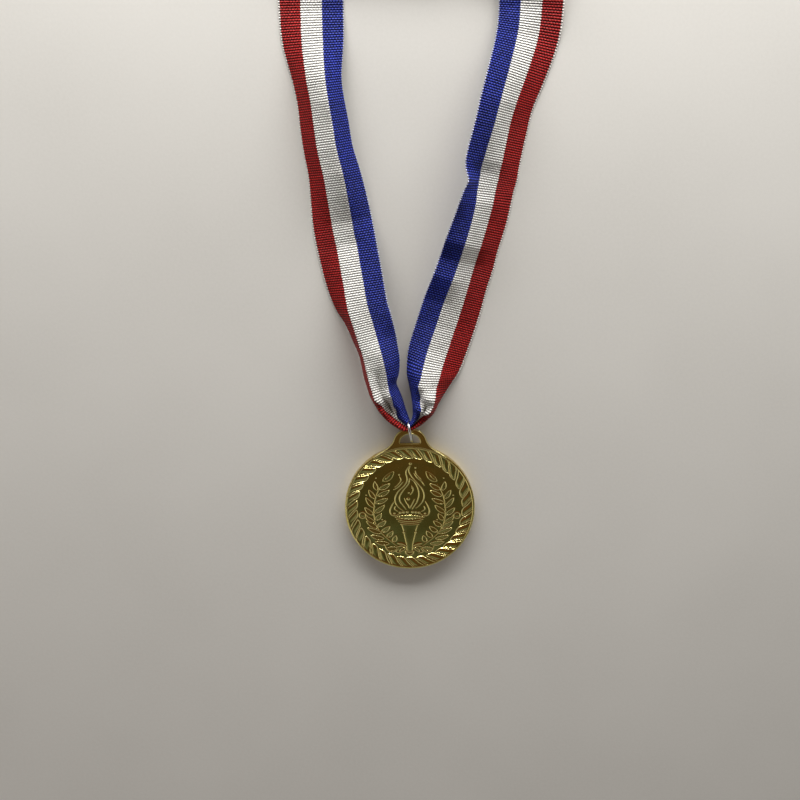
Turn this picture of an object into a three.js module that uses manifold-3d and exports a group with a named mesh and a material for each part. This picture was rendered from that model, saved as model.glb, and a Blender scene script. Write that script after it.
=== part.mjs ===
import * as THREE from 'three';
import Module from 'manifold-3d';

// Award medal on a neck ribbon, lying face up on a table.
// Millimetres; +Z up, +Y from the medal towards the ribbon; z = 0 is the table and the medal's flat back.

// ---- driving dimensions -------------------------------------------------------------------------
const DISC_RADIUS = 25;
const FIELD_Z = 2.5; // sunken face that carries the torch and the laurel
const FLANGE_Z = 2.8; // plain rim outside the rope border
const ROPE_RADIUS = 22.45; // middle of the rope border
const ROPE_STRANDS = 34;
const ROPE_HEIGHT = 0.75;

const LUG_LOW_Z = 1.75; // the lug is thinner than the disc and stands clear of the back
const LUG_HIGH_Z = 3.05;
const LUG_TOP_Y = 32;
const HOLE_LOW_Y = 26.2; // D-shaped ring hole: flat below, arched above
const HOLE_TOP_Y = 29.8;
const HOLE_HALF_WIDTH = 3.77;

const WIRE = 0.9; // jump ring wire diameter
const RING_OUTER = 9;
const RING_CENTRE = new THREE.Vector3(0, 31.7, 4.55);
const RING_YAW = THREE.MathUtils.degToRad(11); // the ring stands on edge, turned a little
const RING_SLIT = THREE.MathUtils.degToRad(4);

const RIBBON_WIDTH = 22.2; // 7/8 inch
const RIBBON_THICK = 0.4;
const BUNCH_WIDTH = 2.3; // the ribbon gathered inside the ring, along Y
const BUNCH_HEIGHT = 4.6;
const BUNCH_CENTRE = new THREE.Vector3(0, 33.65, 4.75);
const BUNCH_HALF_LENGTH = 3.2;

const HANK_LOW_Y = 197; // the folded-up rest of the ribbon
const HANK_LEFT_X = -46;
const HANK_RIGHT_X = 53;
const HANK_LOW_Z = 0.7;
const HANK_HEIGHT = 3;
const TIE_X = 4;
const TIE_WIDTH = 6;
const TIE_THICK = 0.4;
const GAP = 0.3; // clearance between touching pieces
const THREAD = 0.3;

const wasm = await Module();
wasm.setup();

const group = new THREE.Group();
group.name = 'award_medal';

const COLOURS = { gold: 0xb89b4a, steel: 0xc0c2c6, red: 0x97302e, white: 0xd8d6cf, blue: 0x182058 };

function addPart(name, geometry, colour, metalness = 0) {
  const material = new THREE.MeshStandardMaterial({ color: colour, metalness, roughness: 0.5 });
  const mesh = new THREE.Mesh(geometry, material);
  mesh.name = name;
  group.add(mesh);
}

// ---- solids -------------------------------------------------------------------------------------

// Merges the equal corners of a three.js geometry and hands it to manifold as a closed solid.
function toSolid(geometry) {
  const position = geometry.attributes.position;
  const corners = new Map();
  const vertices = [];
  const cornerOf = (i) => {
    const p = [position.getX(i), position.getY(i), position.getZ(i)];
    const key = p.map((c) => Math.round(c * 1e4)).join();
    if (!corners.has(key)) {
      corners.set(key, vertices.length / 3);
      vertices.push(...p);
    }
    return corners.get(key);
  };
  const count = geometry.index ? geometry.index.count : position.count;
  const triangles = [];
  for (let i = 0; i < count; i += 3) {
    const tri = [0, 1, 2].map((k) => cornerOf(geometry.index ? geometry.index.getX(i + k) : i + k));
    if (new Set(tri).size === 3) triangles.push(...tri);
  }
  return new wasm.Manifold(
    new wasm.Mesh({
      numProp: 3,
      vertProperties: new Float32Array(vertices),
      triVerts: new Uint32Array(triangles),
    }),
  );
}

function toGeometry(solid) {
  const mesh = solid.getMesh();
  const geometry = new THREE.BufferGeometry();
  const positions = new Float32Array((mesh.vertProperties.length / mesh.numProp) * 3);
  for (let i = 0; i * 3 < positions.length; i++) {
    for (let k = 0; k < 3; k++) positions[i * 3 + k] = mesh.vertProperties[i * mesh.numProp + k];
  }
  geometry.setAttribute('position', new THREE.BufferAttribute(positions, 3));
  geometry.setIndex(new THREE.BufferAttribute(new Uint32Array(mesh.triVerts), 1));
  geometry.computeVertexNormals();
  return geometry;
}

// Skins a row of equal-sized closed outlines and caps both ends. Outlines run anticlockwise
// as seen looking back from the last one towards the first. The two halves of the outline are
// split along matching diagonals, so a thin twisted strip's faces never pass through each other.
function skin(outlines) {
  const n = outlines[0].length;
  const positions = outlines.flat().flatMap((p) => [p.x, p.y, p.z]);
  const index = [];
  for (let row = 0; row + 1 < outlines.length; row++) {
    for (let i = 0; i < n; i++) {
      const a = row * n + i;
      const b = row * n + ((i + 1) % n);
      if (i < n / 2) index.push(a, b, b + n, a, b + n, a + n);
      else index.push(a, b, a + n, b, b + n, a + n);
    }
  }
  const last = (outlines.length - 1) * n;
  for (let i = 1; i + 1 < n; i++) {
    index.push(0, i + 1, i, last, last + i, last + i + 1);
  }
  const geometry = new THREE.BufferGeometry();
  geometry.setAttribute('position', new THREE.Float32BufferAttribute(positions, 3));
  geometry.setIndex(index);
  geometry.computeVertexNormals();
  return geometry;
}

// A raised pillow on the face: place(u, v) gives the plan point for a position along (u, -1 to 1)
// and across (v, -1 to 1) the pillow. Pointed at both ends, crowned along the middle.
function pillow(place, height, baseZ = FIELD_Z, steps = 4) {
  const outline = (grow, z) => {
    const points = [];
    const at = (u, v) => {
      const half = Math.pow(Math.max(0, 1 - u * u), 0.65);
      const p = place(u * (0.35 + 0.65 * grow), v * half * grow);
      points.push(new THREE.Vector3(p.x, p.y, z));
    };
    for (let i = 0; i < steps; i++) at(-1 + (2 * i) / steps, -1);
    for (let i = 0; i < steps; i++) at(1 - (2 * i) / steps, 1);
    return points;
  };
  return toSolid(skin([outline(1, baseZ - 0.4), outline(1, baseZ + 0.1 * height), outline(0.45, baseZ + height)]));
}

// A straight or bowed leaf between two plan points; bow pushes its middle sideways.
function leaf(from, to, width, height, bow = 0) {
  const along = new THREE.Vector2().subVectors(to, from);
  const side = new THREE.Vector2(-along.y, along.x).normalize();
  const middle = new THREE.Vector2().addVectors(from, to).multiplyScalar(0.5);
  return pillow((u, v) => {
    const sideways = (v * width) / 2 + bow * (1 - u * u);
    return middle.clone().addScaledVector(along, u / 2).addScaledVector(side, sideways);
  }, height);
}

// A low round-section rib along a plan curve.
function rib(points, width, height, segments) {
  const curve = new THREE.CatmullRomCurve3(points.map(([x, y]) => new THREE.Vector3(x, y, 0)));
  const rows = [];
  for (let i = 0; i <= segments; i++) {
    const t = i / segments;
    const p = curve.getPoint(t);
    const tangent = curve.getTangent(t);
    const side = new THREE.Vector3(-tangent.y, tangent.x, 0).normalize();
    const taper = 0.35 + 0.65 * Math.sqrt(Math.sin(Math.PI * Math.min(0.98, Math.max(0.02, t))));
    const half = (width / 2) * taper;
    const row = [
      [half, -0.4],
      [half, 0.05],
      [half * 0.4, height * taper],
      [-half * 0.4, height * taper],
      [-half, 0.05],
      [-half, -0.4],
    ];
    rows.push(
      row.map(([s, z]) => p.clone().addScaledVector(side, s).add(new THREE.Vector3(0, 0, FIELD_Z + z))),
    );
  }
  return toSolid(skin(rows));
}

// A round boss such as a berry or a flame bead.
function bead(x, y, radius, height) {
  const profile = [
    [0, -0.4],
    [radius, -0.4],
    [radius, 0.1],
    [radius * 0.7, height * 0.75],
    [0, height],
  ];
  return toSolid(turned(profile, 10).translate(x, y, FIELD_Z));
}

// Revolves an (r, z) profile about +Z.
function turned(profile, segments) {
  const geometry = new THREE.LatheGeometry(
    profile.map(([r, z]) => new THREE.Vector2(r, z)),
    segments,
  );
  return geometry.rotateX(Math.PI / 2);
}

// ---- medal --------------------------------------------------------------------------------------

function discSolid() {
  return toSolid(
    turned(
      [
        [0, 0],
        [DISC_RADIUS - 0.35, 0],
        [DISC_RADIUS, 0.35],
        [DISC_RADIUS, FLANGE_Z - 0.25],
        [DISC_RADIUS - 0.25, FLANGE_Z],
        [20.3, FLANGE_Z],
        [19.9, FIELD_Z],
        [0, FIELD_Z],
      ],
      72,
    ),
  );
}

// The lug: a thin plate that flares into the disc, with a D-shaped hole for the ring.
function lugSolid() {
  const plate = new THREE.Shape();
  plate.moveTo(-13, 20.5);
  plate.bezierCurveTo(-9.5, 24, -7.2, 24.4, -6.3, 27.4);
  plate.bezierCurveTo(-5.4, 30.6, -2.9, LUG_TOP_Y, 0, LUG_TOP_Y);
  plate.bezierCurveTo(2.9, LUG_TOP_Y, 5.4, 30.6, 6.3, 27.4);
  plate.bezierCurveTo(7.2, 24.4, 9.5, 24, 13, 20.5);
  plate.lineTo(-13, 20.5);
  const hole = new THREE.Path();
  hole.moveTo(-HOLE_HALF_WIDTH, HOLE_LOW_Y);
  hole.lineTo(HOLE_HALF_WIDTH, HOLE_LOW_Y);
  hole.bezierCurveTo(HOLE_HALF_WIDTH, 28.4, 2.1, HOLE_TOP_Y, 0, HOLE_TOP_Y);
  hole.bezierCurveTo(-2.1, HOLE_TOP_Y, -HOLE_HALF_WIDTH, 28.4, -HOLE_HALF_WIDTH, HOLE_LOW_Y);
  plate.holes.push(hole);
  const depth = LUG_HIGH_Z - LUG_LOW_Z;
  const geometry = new THREE.ExtrudeGeometry(plate, { depth, bevelEnabled: false, curveSegments: 7 });
  return toSolid(geometry.translate(0, 0, LUG_LOW_Z));
}

// One strand of the rope border, slanting from its inner tip out to its outer tip.
function strandSolid(angle) {
  const halfSpan = THREE.MathUtils.degToRad(8.4);
  return pillow(
    (u, v) => {
      const radius = ROPE_RADIUS + 1.5 * Math.sin((u * Math.PI) / 2) - v * 0.95;
      const turn = angle + u * halfSpan + v * 0.035;
      return new THREE.Vector2(radius * Math.cos(turn), radius * Math.sin(turn));
    },
    ROPE_HEIGHT,
    FLANGE_Z,
    4,
  );
}

// Half of the laurel wreath: a bowed stem with leaves on both sides, and a berry outside.
// side is -1 for the left branch and 1 for the right one.
function laurelSolids(side) {
  const stem = new THREE.CatmullRomCurve3(
    [
      [4.9, -15.5],
      [8.4, -12.6],
      [11.2, -9.7],
      [12.95, -6.8],
      [13.7, -3],
      [13.7, 0.7],
      [13.15, 4],
      [12.2, 6.9],
      [10.4, 9.8],
    ].map(([x, y]) => new THREE.Vector3(side * x, y, 0)),
  );
  const solids = [rib(stem.getPoints(8).map((p) => [p.x, p.y]), 0.6, 0.35, 12)];
  const pairs = 9;
  for (let i = 0; i < pairs; i++) {
    const t = (i + 0.15) / pairs;
    const root = stem.getPoint(t);
    const tangent = stem.getTangent(t);
    const from = new THREE.Vector2(root.x, root.y);
    const length = 3.4 + 1.7 * Math.sin(Math.PI * Math.min(1, t + 0.08));
    for (const hand of [-1, 1]) {
      const spread = hand * side * 0.75;
      const heading = new THREE.Vector2(tangent.x, tangent.y).rotateAround(new THREE.Vector2(), spread);
      const start = from.clone().addScaledVector(heading, 0.3);
      const end = from.clone().addScaledVector(heading, length);
      solids.push(leaf(start, end, 1.75, 0.55, -0.2 * hand * side));
    }
  }
  const top = stem.getPoint(1);
  const tip = new THREE.Vector2(top.x, top.y);
  solids.push(leaf(tip, new THREE.Vector2(side * 6.3, 14.8), 2, 0.55, side * 0.35));
  solids.push(bead(side * 18.3, -2.8, 1.15, 0.5));
  return solids;
}

// The torch: flame outline, inner flame, bowl, banded collar, tapered handle and foot.
function torchSolids() {
  const solids = [];
  const flameSide = (side, lean) =>
    rib(
      [
        [lean, 16.6],
        [side * 1.2 + lean, 14],
        [side * 1.3, 11.6],
        [side * 3.4, 9],
        [side * 5.2, 6.4],
        [side * 5.5, 3.6],
        [side * 3.9, 0.4],
        [side * 2.3, -1.2],
      ],
      1.15,
      0.55,
      11,
    );
  const innerSide = (side) =>
    rib(
      [
        [-0.1, 12.2],
        [side * 1.1 - 0.2, 10.2],
        [side * 2.8, 7.6],
        [side * 3.6, 5.2],
        [side * 3.2, 2.8],
        [side * 1.7, 0.6],
      ],
      0.8,
      0.45,
      8,
    );
  for (const side of [-1, 1]) {
    solids.push(flameSide(side, -0.2), innerSide(side));
    solids.push(leaf(new THREE.Vector2(side * 0.2, 0.4), new THREE.Vector2(side * 2, 3.9), 0.7, 0.4));
    solids.push(leaf(new THREE.Vector2(side * 5.3, -2.6), new THREE.Vector2(side * 6.6, 1.6), 1, 0.45, -side));
    solids.push(leaf(new THREE.Vector2(side * 1.1, -15.55), new THREE.Vector2(side * 4.55, -14.5), 0.9, 0.45));
    solids.push(leaf(new THREE.Vector2(side * 1.7, -16.3), new THREE.Vector2(side * 4, -17.9), 0.9, 0.4));
  }
  solids.push(leaf(new THREE.Vector2(-3.8, 11.2), new THREE.Vector2(-6.1, 7.8), 0.9, 0.4));
  solids.push(leaf(new THREE.Vector2(1.7, 14.2), new THREE.Vector2(5.3, 9.9), 0.9, 0.4));
  solids.push(bead(0.1, 18, 0.55, 0.45), bead(-0.6, 3.9, 0.6, 0.45), bead(1, 8.3, 0.4, 0.4));
  for (let i = 0; i < 4; i++) solids.push(bead(-3.6 + 2.37 * i, -1.5, 0.6, 0.5));

  // bowl, bands and handle, stacked down the middle: [half width, y] from rim to foot
  const silhouette = [
    [5.4, -2.9],
    [5, -4.4],
    [3.6, -6.1],
    [3, -7],
    [2.2, -9.9],
    [1.1, -14.8],
    [1.35, -17.9],
    [0.8, -19.2],
  ];
  const body = silhouette.map(([half, y], i) => {
    const crown = i === 0 || i === silhouette.length - 1 ? 0.3 : 0.7;
    return [
      [-half, -0.4],
      [half, -0.4],
      [half, 0.05],
      [half * 0.45, crown],
      [-half * 0.45, crown],
      [-half, 0.05],
    ].map(([x, z]) => new THREE.Vector3(x, y, FIELD_Z + z));
  });
  solids.push(toSolid(skin(body.reverse().map((row) => row.slice().reverse()))));
  return solids;
}

let medal = discSolid().add(lugSolid());
for (let i = 0; i < ROPE_STRANDS; i++) {
  medal = medal.add(strandSolid((i * 2 * Math.PI) / ROPE_STRANDS));
}
for (const solid of [...laurelSolids(-1), ...laurelSolids(1), ...torchSolids()]) {
  medal = medal.add(solid);
}
addPart('medal', toGeometry(medal), COLOURS.gold, 1);

// ---- jump ring ----------------------------------------------------------------------------------

// An open ring of round wire standing on edge; its slit faces the ribbon.
function jumpRing() {
  const radius = (RING_OUTER - WIRE) / 2;
  const rows = [];
  const steps = 40;
  for (let i = 0; i <= steps; i++) {
    const turn = RING_SLIT / 2 + (i / steps) * (2 * Math.PI - RING_SLIT);
    const row = [];
    for (let k = 0; k < 8; k++) {
      const around = (k / 8) * 2 * Math.PI;
      const r = radius + (WIRE / 2) * Math.cos(around);
      row.push(
        new THREE.Vector3((WIRE / 2) * Math.sin(around), r * Math.cos(turn), r * Math.sin(turn)),
      );
    }
    rows.push(row);
  }
  return skin(rows.map((row) => row.slice().reverse())).rotateZ(RING_YAW).translate(RING_CENTRE.x, RING_CENTRE.y, RING_CENTRE.z);
}
addPart('jump_ring', jumpRing(), COLOURS.steel, 1);

// ---- ribbon -------------------------------------------------------------------------------------

// One flat six-sided section of the ribbon, width across and thick through, square to its path.
function ribbonSection(centre, across, through, width, thick) {
  const flat = width / 2 - Math.min(0.3 * width, 0.5 * thick);
  const corners = [
    [-width / 2, 0],
    [-flat, -thick / 2],
    [flat, -thick / 2],
    [width / 2, 0],
    [flat, thick / 2],
    [-flat, thick / 2],
  ];
  return corners.map(([a, t]) => centre.clone().addScaledVector(across, a).addScaledVector(through, t));
}

// A ribbon leg from the gather to the hank. It opens out from the narrow, tall gather to its
// full width. It arches off the table beside the gather, and beyond that its inner edge lifts
// where roll is not zero.
function ribbonLeg(side, waypoints, peakRoll, archHeight) {
  const path = new THREE.CatmullRomCurve3(waypoints.map(([x, y]) => new THREE.Vector3(side * x, y, 0)));
  const rows = [];
  const steps = 26;
  for (let i = 0; i <= steps; i++) {
    const p = path.getPoint(i / steps);
    const tangent = path.getTangent(i / steps);
    const opened = THREE.MathUtils.smoothstep(p.y, 32, 66);
    const bunchSize = BUNCH_WIDTH + 4 * THREE.MathUtils.smoothstep(p.y, 34, 44);
    const width = THREE.MathUtils.lerp(bunchSize, RIBBON_WIDTH, opened);
    const thick = Math.max(RIBBON_THICK, ((BUNCH_WIDTH * BUNCH_HEIGHT) / width) * (1 - opened));
    const rise = THREE.MathUtils.smoothstep(p.y, 66, 150) * (1 - THREE.MathUtils.smoothstep(p.y, 158, 186));
    const roll = side * peakRoll * rise;
    const level = new THREE.Vector3(tangent.y, -tangent.x, 0).normalize();
    const across = level.clone().multiplyScalar(Math.cos(roll)).setZ(-Math.sin(roll));
    const through = level.clone().multiplyScalar(Math.sin(roll)).setZ(Math.cos(roll));
    const arch = Math.sin(Math.PI * THREE.MathUtils.clamp((p.y - 34) / 62, 0, 1)) ** 2;
    const lift = BUNCH_CENTRE.z * (1 - THREE.MathUtils.smoothstep(p.y, 33, 92)) + archHeight * arch;
    const rest = thick / 2 + (width / 2) * Math.sin(Math.abs(roll)) + 0.05;
    p.z = Math.max(lift, rest);
    rows.push(ribbonSection(p, across, through, width, thick));
  }
  return skin(rows.map((row) => row.slice().reverse()));
}

// The gathered middle of the ribbon where it passes through the ring.
function ribbonBight() {
  const rows = [];
  for (let i = 0; i <= 8; i++) {
    const x = BUNCH_HALF_LENGTH * (i / 4 - 1);
    const row = [];
    for (let k = 0; k < 12; k++) {
      const turn = (k / 12) * 2 * Math.PI;
      row.push(
        new THREE.Vector3(
          x,
          BUNCH_CENTRE.y + 0.045 * x * x + (BUNCH_WIDTH / 2) * Math.cos(turn),
          BUNCH_CENTRE.z + (BUNCH_HEIGHT / 2) * Math.sin(turn),
        ),
      );
    }
    rows.push(row);
  }
  return skin(rows);
}

const legStart = BUNCH_HALF_LENGTH + GAP;
const leftWay = [
  [legStart + 0.6, 34.9],
  [6.2, 38.6],
  [8.6, 43.4],
  [11.2, 55],
  [15.8, 74.9],
  [20.6, 90],
  [24.9, 111],
  [28.5, 132],
  [31.8, 152.2],
  [34.2, 170],
  [34.6, HANK_LOW_Y - GAP],
];
const rightWay = [
  [legStart + 0.6, 34.9],
  [5.6, 38.6],
  [6.3, 43.4],
  [8.4, 55],
  [13.7, 74.9],
  [18.6, 90],
  [25.1, 111],
  [29.4, 132],
  [33.9, 152.2],
  [39.5, 170],
  [41.6, HANK_LOW_Y - GAP],
];
addPart('ribbon_left_leg', ribbonLeg(-1, leftWay, 0.72, 3.4), COLOURS.red);
addPart('ribbon_right_leg', ribbonLeg(1, rightWay, 0.5, 0.8), COLOURS.red);
addPart('ribbon_bight', ribbonBight(), COLOURS.blue);

// The rest of the ribbon, folded to and fro into a flat stack beyond the legs.
function hank() {
  const rows = [];
  for (const [x, high] of [
    [HANK_LEFT_X, 0.55],
    [HANK_LEFT_X + 1.4, 1],
    [HANK_RIGHT_X - 1.4, 1],
    [HANK_RIGHT_X, 0.55],
  ]) {
    const centre = new THREE.Vector3(x, HANK_LOW_Y + RIBBON_WIDTH / 2, HANK_LOW_Z + HANK_HEIGHT / 2);
    rows.push(
      ribbonSection(
        centre,
        new THREE.Vector3(0, -1, 0),
        new THREE.Vector3(0, 0, 1),
        RIBBON_WIDTH,
        HANK_HEIGHT * high,
      ),
    );
  }
  return skin(rows.map((row) => row.slice().reverse()));
}
addPart('ribbon_hank', hank(), COLOURS.red);

// A flat closed band around the middle of the hank.
function hankTie() {
  const low = HANK_LOW_Z - GAP - TIE_THICK;
  const outer = { y: RIBBON_WIDTH / 2 + GAP + TIE_THICK, z: HANK_HEIGHT / 2 + GAP + TIE_THICK };
  const band = new THREE.Shape();
  const ring = (path, shrink) => {
    const y = outer.y - shrink;
    const z = outer.z - shrink;
    path.moveTo(-y, -z);
    path.lineTo(y, -z);
    path.lineTo(y, z);
    path.lineTo(-y, z);
    path.lineTo(-y, -z);
  };
  ring(band, 0);
  const inside = new THREE.Path();
  ring(inside, TIE_THICK);
  band.holes.push(inside);
  const geometry = new THREE.ExtrudeGeometry(band, { depth: TIE_WIDTH, bevelEnabled: false });
  geometry.rotateY(Math.PI / 2).rotateX(Math.PI / 2);
  return geometry.translate(TIE_X - TIE_WIDTH / 2, HANK_LOW_Y + RIBBON_WIDTH / 2, low + outer.z);
}
addPart('hank_tie', hankTie(), COLOURS.white);

// The zigzag seam that joins the ribbon's two ends, on the top layer of the hank.
function seamThread() {
  const points = [];
  const stitches = 12;
  for (let i = 0; i <= stitches; i++) {
    const y = HANK_LOW_Y + 1 + (i / stitches) * (RIBBON_WIDTH - 2);
    points.push([26 + (i % 2 ? 1.1 : -1.1), y]);
  }
  const z = HANK_LOW_Z + HANK_HEIGHT + GAP + THREAD / 2;
  const rows = points.map(([x, y]) =>
    [0, 1, 2, 3, 4, 5].map((k) => {
      const around = (k / 6) * 2 * Math.PI;
      const half = THREAD / 2;
      return new THREE.Vector3(x + half * 1.4 * Math.cos(around), y, z + half * Math.sin(around));
    }),
  );
  return skin(rows.map((row) => row.slice().reverse()));
}
addPart('seam_thread', seamThread(), COLOURS.white);

export default group;
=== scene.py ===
import math

import bmesh
import bpy
import numpy as np
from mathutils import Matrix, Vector
from mathutils.geometry import tessellate_polygon


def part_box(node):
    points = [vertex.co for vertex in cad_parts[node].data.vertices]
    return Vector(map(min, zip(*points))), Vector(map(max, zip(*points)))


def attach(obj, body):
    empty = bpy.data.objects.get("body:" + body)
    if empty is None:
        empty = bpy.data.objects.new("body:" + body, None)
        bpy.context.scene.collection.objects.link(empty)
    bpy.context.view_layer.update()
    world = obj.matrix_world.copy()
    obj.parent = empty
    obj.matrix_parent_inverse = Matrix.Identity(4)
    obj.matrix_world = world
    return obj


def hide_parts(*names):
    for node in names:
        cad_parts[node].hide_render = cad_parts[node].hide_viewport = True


# An award medal on a striped neck ribbon, lying face up. Shapes are worked out in millimetres
# in the CAD frame and turned into metres when a mesh is made.

MM = 0.001
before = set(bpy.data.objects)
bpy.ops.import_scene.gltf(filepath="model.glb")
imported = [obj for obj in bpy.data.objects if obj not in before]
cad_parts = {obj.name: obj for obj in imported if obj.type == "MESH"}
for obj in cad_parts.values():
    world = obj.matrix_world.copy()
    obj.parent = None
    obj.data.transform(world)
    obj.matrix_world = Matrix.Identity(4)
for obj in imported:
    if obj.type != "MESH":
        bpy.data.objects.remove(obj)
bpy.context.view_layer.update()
rng = np.random.default_rng(7)


def cad_box(node):
    low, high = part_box(node)
    return np.array(low) / MM, np.array(high) / MM


MEDAL_LOW, MEDAL_HIGH = cad_box("medal")
RING_LOW, RING_HIGH = cad_box("jump_ring")
HANK_LOW = cad_box("ribbon_hank")[0]
TIE_LOW, TIE_HIGH = cad_box("hank_tie")
SEAM_LOW, SEAM_HIGH = cad_box("seam_thread")


def new_object(name, data):
    obj = bpy.data.objects.new(name, data)
    bpy.context.collection.objects.link(obj)
    return obj


# ---- camera ----

CAMERA_TILT = math.radians(-15)
CAMERA_DISTANCE = 450
CAMERA_LENS = 53.91
LOOK_AT = (-3.8, 43.25, 2.8)

camera_data = bpy.data.cameras.new("camera")
camera_data.lens = CAMERA_LENS
camera_data.sensor_width = 36
camera_data.clip_start = 0.01
camera = new_object("camera", camera_data)
camera.rotation_euler = (CAMERA_TILT, 0, 0)
camera.location = (
    LOOK_AT[0] * MM,
    (LOOK_AT[1] - CAMERA_DISTANCE * math.sin(CAMERA_TILT)) * MM,
    (LOOK_AT[2] + CAMERA_DISTANCE * math.cos(CAMERA_TILT)) * MM,
)
bpy.context.scene.camera = camera
bpy.context.scene.view_settings.view_transform = "Standard"

# ---- helpers ----


def smooth(low, high, x):
    t = np.clip((x - low) / (high - low), 0, 1)
    return t * t * (3 - 2 * t)


def spline(points, count):
    """A Catmull-Rom curve through the points, sampled at count places."""
    p = np.array(points, float)
    p = np.vstack([2 * p[0] - p[1], p, 2 * p[-1] - p[-2]])
    spans = len(p) - 3
    t = np.linspace(0, spans, count)
    i = np.minimum(t.astype(int), spans - 1)
    f = (t - i)[:, None]
    a, b, c, d = p[i], p[i + 1], p[i + 2], p[i + 3]
    square = 2 * a - 5 * b + 4 * c - d
    cube = 3 * b - 3 * c + d - a
    return 0.5 * (2 * b + (c - a) * f + square * f**2 + cube * f**3)


def unit(vectors):
    return vectors / np.maximum(np.linalg.norm(vectors, axis=-1, keepdims=True), 1e-9)


def swept_faces(count, per):
    """Quads between rings of points laid one after another, and a cap at each end."""
    ids = np.arange(count * per).reshape(count, per)
    beside = np.roll(ids, -1, axis=1)
    quads = np.stack([ids[:-1], beside[:-1], beside[1:], ids[1:]], axis=2)
    return quads.reshape(-1, 4).tolist() + [ids[0].tolist(), ids[-1].tolist()]


def make_mesh(name, verts_mm, faces, attributes=None, sharp_degrees=None):
    mesh = bpy.data.meshes.new(name)
    mesh.from_pydata((np.asarray(verts_mm) * MM).tolist(), [], faces)
    for key, values in (attributes or {}).items():
        layer = mesh.attributes.new(key, "FLOAT", "POINT")
        layer.data.foreach_set("value", np.asarray(values, np.float32))
    mesh.shade_smooth()
    obj = new_object(name, mesh)
    outward = bmesh.new()
    outward.from_mesh(mesh)
    bmesh.ops.recalc_face_normals(outward, faces=outward.faces)
    outward.to_mesh(mesh)
    outward.free()
    if sharp_degrees:
        mesh.set_sharp_from_angle(angle=math.radians(sharp_degrees))
    return obj


def place(obj, material, body, slot, *nodes):
    obj.data.materials.append(material)
    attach(obj, body)
    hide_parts(*nodes)


class Nodes:
    """Short-hand for building one material's node tree."""

    def __init__(self, name):
        self.material = bpy.data.materials.new(name)
        self.material.use_nodes = True
        self.tree = self.material.node_tree
        self.shader = self.tree.nodes["Principled BSDF"]

    def add(self, kind, inputs=None, **settings):
        node = self.tree.nodes.new(kind)
        for key, value in settings.items():
            setattr(node, key, value)
        for key, value in (inputs or {}).items():
            self.put(value, node.inputs[key])
        return node

    def put(self, value, socket):
        if isinstance(value, bpy.types.NodeSocket):
            self.tree.links.new(value, socket)
        elif socket.type == "RGBA":
            socket.default_value = (*value, 1.0)
        else:
            socket.default_value = value

    def math(self, operation, *values):
        inputs = dict(enumerate(values))
        return self.add("ShaderNodeMath", inputs, operation=operation).outputs[0]

    def plus(self, a, b):
        return self.math("ADD", a, b)

    def times(self, a, b):
        return self.math("MULTIPLY", a, b)

    def grey(self, level):
        channels = {"Red": level, "Green": level, "Blue": level}
        return self.add("ShaderNodeCombineColor", channels).outputs[0]

    def attribute(self, name):
        return self.add("ShaderNodeAttribute", attribute_name=name).outputs["Fac"]

    def place(self):
        return self.add("ShaderNodeTexCoord").outputs["Object"]

    def noise(self, scale, detail=3.0, roughness=0.5, vector=None):
        inputs = {"Scale": scale, "Detail": detail, "Roughness": roughness}
        inputs["Vector"] = vector or self.place()
        return self.add("ShaderNodeTexNoise", inputs).outputs["Fac"]

    def span(self, value, low, high, to_low, to_high):
        inputs = {"Value": value, "From Min": low, "From Max": high}
        inputs |= {"To Min": to_low, "To Max": to_high}
        return self.add("ShaderNodeMapRange", inputs).outputs["Result"]

    def mix(self, factor, a, b, blend="MIX"):
        inputs = {"Factor": factor, 6: a, 7: b}
        node = self.add("ShaderNodeMix", inputs, data_type="RGBA", blend_type=blend)
        return node.outputs[2]

    def bump(self, height, distance, strength=1.0, normal=None):
        inputs = {"Height": height, "Distance": distance, "Strength": strength}
        if normal is not None:
            inputs["Normal"] = normal
        return self.add("ShaderNodeBump", inputs).outputs["Normal"]

    def set(self, **values):
        for key, value in values.items():
            self.put(value, self.shader.inputs[key.replace("_", " ")])


# ---- medal: plan outline ----

DISC_R = -MEDAL_LOW[1]
LUG_TOP = MEDAL_HIGH[1]
FIELD_Z = 2.5
LUG_LOW_Z = 1.75
LUG_HIGH_Z = 3.05
BACK_Z = 0.12  # the back is a shallow dish inside a rim
GRID = 0.105  # spacing of the face's vertices
FILLET = 0.9  # blend between the lug and the disc, in plan
ROUND = 0.32  # the face's edges are rounded by this much
RELIEF_SCALE = 0.5
LIP = 0.2  # the disc's rim above the field


def bezier(a, b, c, d, count):
    t = np.linspace(0, 1, count, endpoint=False)[:, None]
    a, b, c, d = (np.array(p, float) for p in (a, b, c, d))
    return (1 - t) ** 3 * a + 3 * (1 - t) ** 2 * t * b + 3 * (1 - t) * t**2 * c + t**3 * d


def mirrored(*curves):
    """Joins the curves of a left half and closes them with their mirror image."""
    half = np.vstack(curves)
    return np.vstack([half, half[::-1] * [-1, 1]])


LUG_OUTLINE = mirrored(
    bezier((-13.4, 20.0), (-9.7, 23.9), (-7.3, 24.5), (-6.3, 27.4), 24),
    bezier((-6.3, 27.4), (-5.4, 30.6), (-2.9, LUG_TOP), (0, LUG_TOP), 24),
)
HOLE_OUTLINE = mirrored(
    bezier((-3.4, 26.2), (-3.65, 26.2), (-3.77, 26.3), (-3.77, 26.6), 5),
    bezier((-3.77, 26.6), (-3.77, 28.5), (-2.1, 29.8), (0, 29.8), 24),
)


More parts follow.
